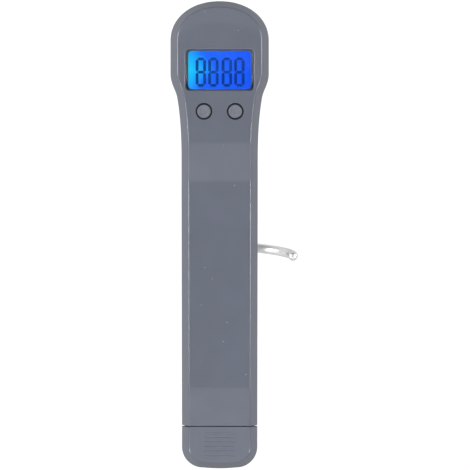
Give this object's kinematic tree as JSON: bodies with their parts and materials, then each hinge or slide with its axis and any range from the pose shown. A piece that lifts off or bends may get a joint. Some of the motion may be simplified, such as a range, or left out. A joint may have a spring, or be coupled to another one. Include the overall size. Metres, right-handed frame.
{
  "type": "digital luggage scale",
  "caption": "Hand-held digital luggage scale with a display head, slide-off battery cap and a steel hook that swings and swivels under the grip.",
  "frame": {"origin": "centre of the hand grip on the parting plane of the two shells, straight above the pin that carries the hook when the display faces up", "axes": "+X across the body to the right of the display, +Y along the body towards the display head, +Z out of the display side; the hook hangs towards -Z"},
  "size_m": [0.0536, 0.1948, 0.0777],
  "materials": {
    "housing": "semi-gloss moulded grey with a fine spark texture",
    "button": "satin moulded light grey",
    "black_plastic": "satin moulded black",
    "lens": "clear polished",
    "lcd": "blue backlit display glass",
    "diffuser": "milky light guide",
    "board": "green solder mask",
    "resin": "black potting drop",
    "rubber": "grey contact rubber",
    "steel": "bright drawn and plated",
    "aluminium": "milled",
    "nickel": "nickel plated spring strip",
    "battery": "printed foil sleeve with no marks",
    "foil": "amber polyimide film",
    "red_wire": "red insulation",
    "black_wire": "black insulation",
    "grey_wire": "grey insulation"
  },
  "bodies": {
    "root": {"front_shell": "housing", "back_shell": "housing", "slot_trim": "black_plastic", "case_screw_1": "steel", "case_screw_2": "steel", "case_screw_3": "steel", "case_screw_4": "steel", "case_screw_5": "steel", "case_screw_6": "steel", "display_lens": "lens", "lcd_holder": "black_plastic", "lcd_glass": "lcd", "backlight_panel": "diffuser", "backlight_led": "diffuser", "zebra_strip": "rubber", "main_pcb": "board", "chip_blob": "resin", "power_switch": "black_plastic", "unit_switch": "black_plastic", "pcb_screw_1": "steel", "pcb_screw_2": "steel", "pcb_screw_3": "steel", "pcb_screw_4": "steel", "load_cell": "aluminium", "strain_gauge_front": "foil", "strain_gauge_rear": "foil", "chassis_plate": "steel", "cell_bolt_1": "steel", "cell_bolt_2": "steel", "pivot_pin": "steel", "e_clip": "steel", "battery_tray": "black_plastic", "battery_1": "battery", "battery_2": "battery", "contact_plus": "nickel", "contact_minus": "nickel", "minus_spring": "nickel", "lead_red": "red_wire", "lead_black": "black_wire", "sensor_cable": "grey_wire"},
    "power_button": {"power_button": "button"},
    "unit_button": {"unit_button": "button"},
    "end_cap": {"end_cap": "housing", "bridge_contact": "nickel", "bridge_spring": "nickel"},
    "stirrup": {"hook_stirrup": "steel"},
    "hook": {"hook": "steel", "hook_washer": "steel", "hook_nut": "steel"}
  },
  "joints": [
    {"name": "power_button_press", "type": "slide", "parent": "root", "child": "power_button", "axis": [0, 0, -1], "range_m": [0, 0.0005], "stiffness_N_per_m": 1500},
    {"name": "unit_button_press", "type": "slide", "parent": "root", "child": "unit_button", "axis": [0, 0, -1], "range_m": [0, 0.0005], "stiffness_N_per_m": 1500},
    {"name": "end_cap_slide", "type": "slide", "parent": "root", "child": "end_cap", "axis": [0, -1, 0], "range_m": [0, 0.03]},
    {"name": "hook_swing", "type": "hinge", "parent": "root", "child": "stirrup", "pos_m": [0, 0, -0.008], "axis": [1, 0, 0], "range_deg": [-38.4, 25.6]},
    {"name": "hook_swivel", "type": "hinge", "parent": "stirrup", "child": "hook", "pos_m": [0, 0, -0.008], "axis": [0, -0.1115, 0.9938], "continuous": true}
  ]
}
